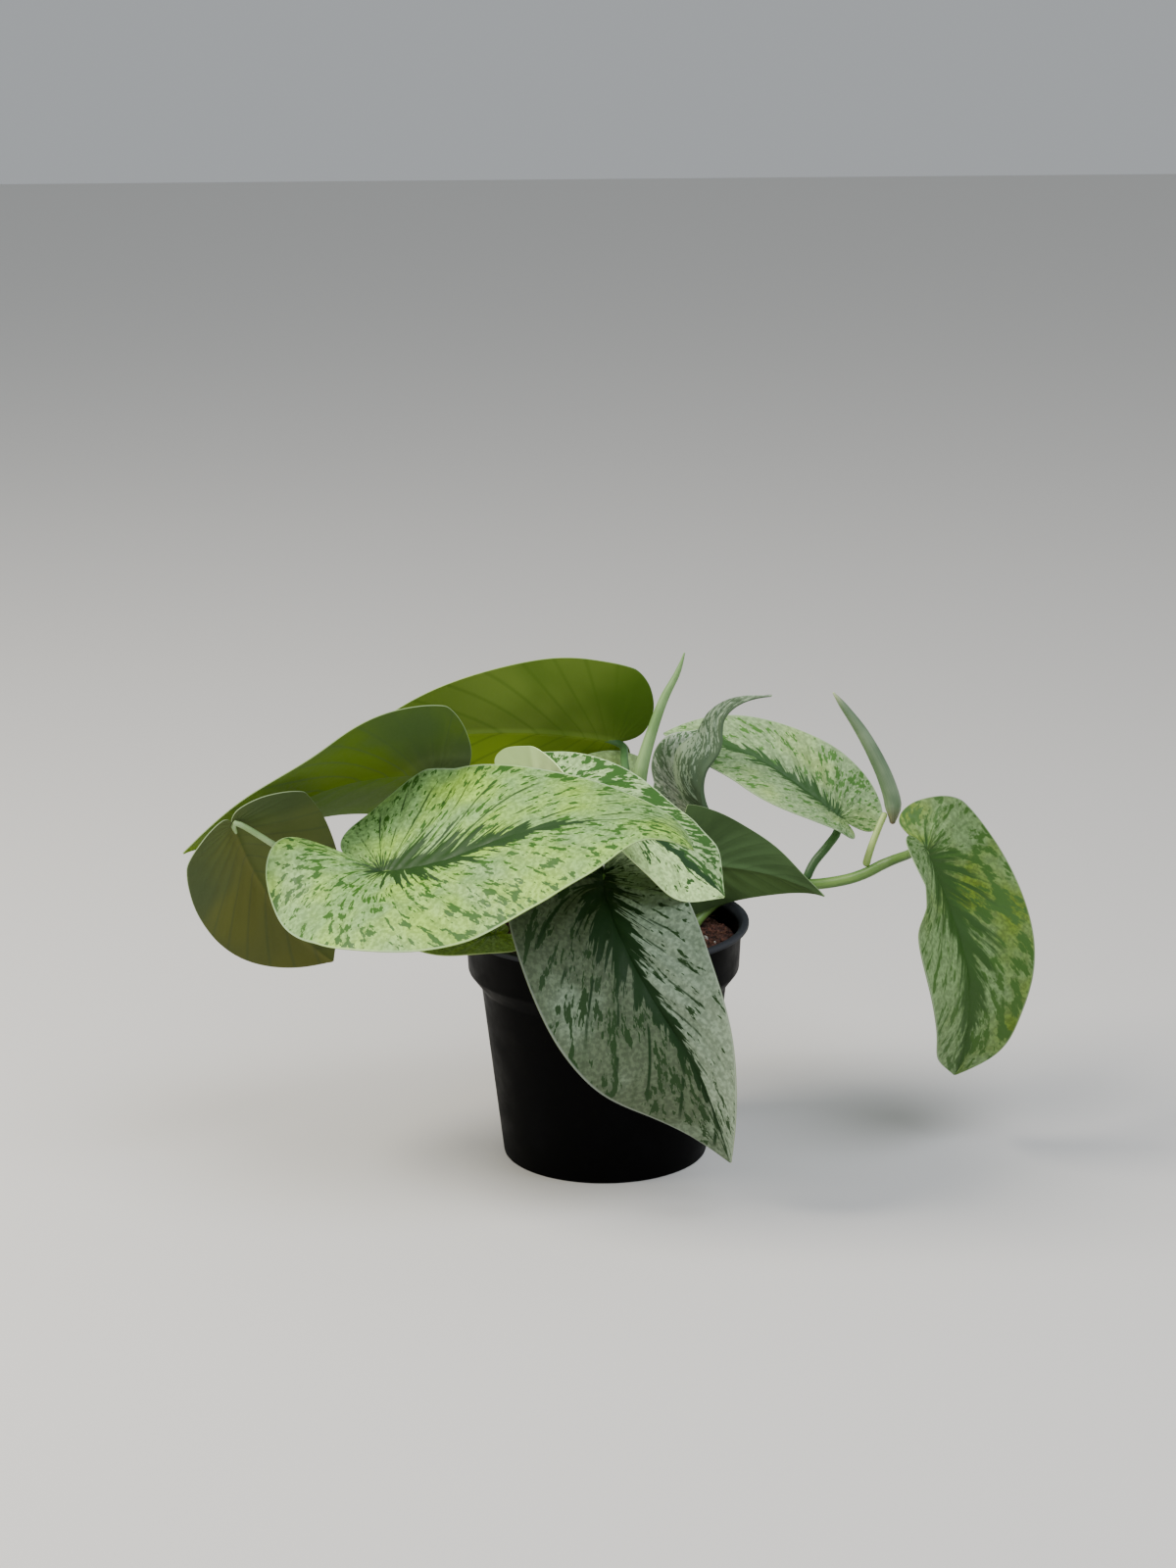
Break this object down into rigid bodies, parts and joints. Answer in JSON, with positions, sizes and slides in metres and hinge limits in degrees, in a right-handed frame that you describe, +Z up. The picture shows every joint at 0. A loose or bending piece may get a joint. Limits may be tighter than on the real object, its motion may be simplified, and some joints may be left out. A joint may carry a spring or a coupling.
{
  "type": "potted satin pothos",
  "caption": "Young satin pothos with heart-shaped silvery leaves, one of its stems trailing over the rim of a small black plastic nursery pot.",
  "frame": {"origin": "centre of the pot's underside, on the surface it stands on", "axes": "+Z up through the pot; +X along the plant's greatest width, towards the trailing stem; -Y is the side that the large silvery leaf leans out on"},
  "size_m": [0.2969, 0.149, 0.1761],
  "materials": {
    "pot_plastic": "matte",
    "potting_mix": "matte",
    "green_stem": "satin",
    "leaf_blade": "satin"
  },
  "bodies": {
    "root": {"nursery_pot": "pot_plastic", "potting_soil": "potting_mix", "vine_stem": "green_stem", "leaf_front_large": "leaf_blade", "stalk_front_large": "green_stem", "leaf_front_hanging": "leaf_blade", "stalk_front_hanging": "green_stem", "leaf_centre_upper": "leaf_blade", "stalk_centre_upper": "green_stem", "leaf_back_upper": "leaf_blade", "stalk_back_upper": "green_stem", "leaf_left_upper": "leaf_blade", "stalk_left_upper": "green_stem", "leaf_left_lower": "leaf_blade", "stalk_left_lower": "green_stem", "leaf_right_dark": "leaf_blade", "stalk_right_dark": "green_stem", "leaf_half_rolled": "leaf_blade", "stalk_half_rolled": "green_stem", "leaf_right_back": "leaf_blade", "stalk_right_back": "green_stem", "leaf_vine_end": "leaf_blade", "stalk_vine_end": "green_stem", "leaf_on_rim": "leaf_blade", "stalk_on_rim": "green_stem", "leaf_centre_pale": "leaf_blade", "stalk_centre_pale": "green_stem", "leaf_spike": "green_stem", "leaf_new_rolled": "leaf_blade", "stalk_new_rolled": "green_stem"}
  },
  "joints": []
}
